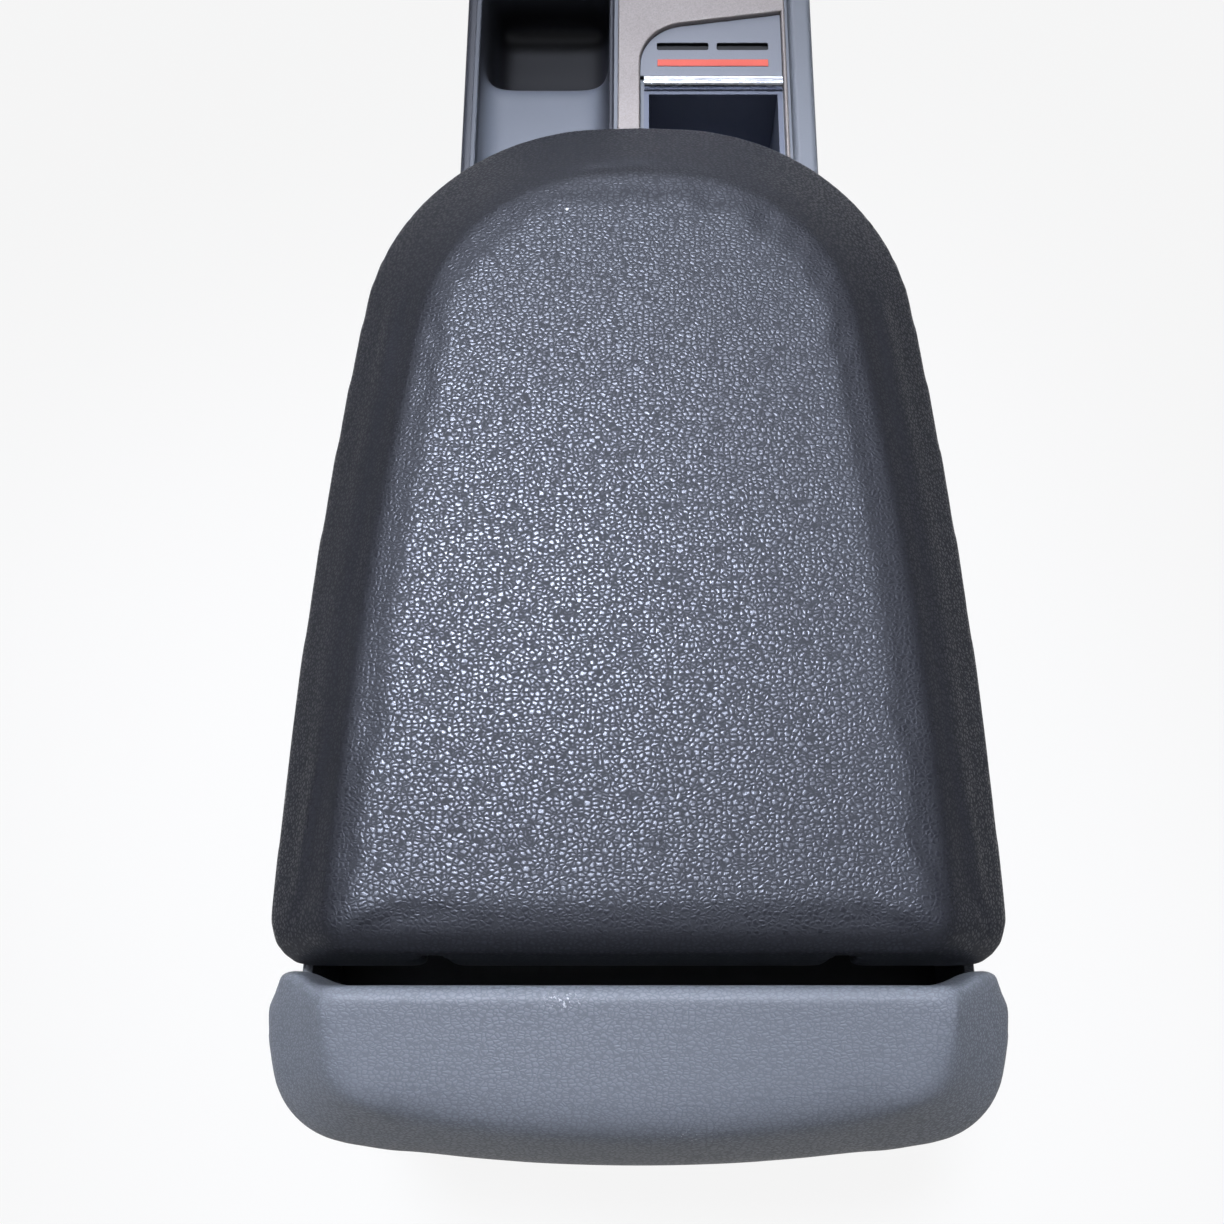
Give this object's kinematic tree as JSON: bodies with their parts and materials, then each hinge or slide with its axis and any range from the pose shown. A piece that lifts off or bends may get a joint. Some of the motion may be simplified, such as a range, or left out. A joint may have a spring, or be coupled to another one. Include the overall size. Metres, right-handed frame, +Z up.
{
  "type": "car centre armrest",
  "caption": "Car console armrest: grained padded lid hinged at the rear over a storage bin, with a paddle latch, faceted rear cap and a short deck with tray, coin panel and pocket.",
  "frame": {"origin": "centre of the overall plan, on the floor that the console stands on", "axes": "+X to the right, +Y towards the front of the car, +Z up"},
  "size_m": [0.2248, 0.4946, 0.2],
  "materials": {
    "pad_skin": "charcoal soft-touch skin with a pebbled leather grain",
    "grey_plastic": "mid-grey moulding with a fine cast grain",
    "black_plastic": "black moulding, fine texture",
    "tray_plastic": "dark grey moulding, smooth matt",
    "trim_paint": "taupe-silver satin paint",
    "red_plastic": "coral red plastic",
    "chrome": "bright chrome",
    "steel": "zinc-plated pressed steel",
    "rubber": "black rubber",
    "nylon": "natural nylon"
  },
  "bodies": {
    "console": {"right_side_panel": "grey_plastic", "left_side_panel": "grey_plastic", "front_panel": "grey_plastic", "rear_panel": "grey_plastic", "rear_cap": "grey_plastic", "bin_rim": "black_plastic", "storage_bin": "black_plastic", "hinge_shelf": "black_plastic", "bin_mat": "rubber", "striker": "steel", "hinge_bracket": "steel", "hinge_bushes": "nylon", "bracket_rivets": "steel", "floor_feet": "steel", "foot_rivets": "steel", "console_deck": "grey_plastic", "left_tray": "tray_plastic", "pocket_liner": "black_plastic", "trim_panel": "trim_paint", "coin_panel": "grey_plastic", "accent_strip": "red_plastic", "chrome_strip": "chrome"},
    "lid": {"lid_pad": "pad_skin", "lid_frame": "black_plastic", "lid_liner": "black_plastic", "liner_screws": "steel", "lid_buffers": "rubber", "hinge_pin": "steel", "pin_caps": "steel", "latch_pin": "steel", "latch_spring": "steel"},
    "latch": {"latch_lever": "black_plastic"}
  },
  "joints": [
    {"name": "lid_hinge", "type": "hinge", "parent": "console", "child": "lid", "pos_m": [0, -0.17075, 0.1825], "axis": [1, 0, 0], "range_deg": [0, 90]},
    {"name": "latch_pivot", "type": "hinge", "parent": "lid", "child": "latch", "pos_m": [0, 0.06225, 0.174], "axis": [1, 0, 0], "range_deg": [0, 10], "stiffness_Nm_per_rad": 0.2, "springref_deg": -11.46}
  ]
}
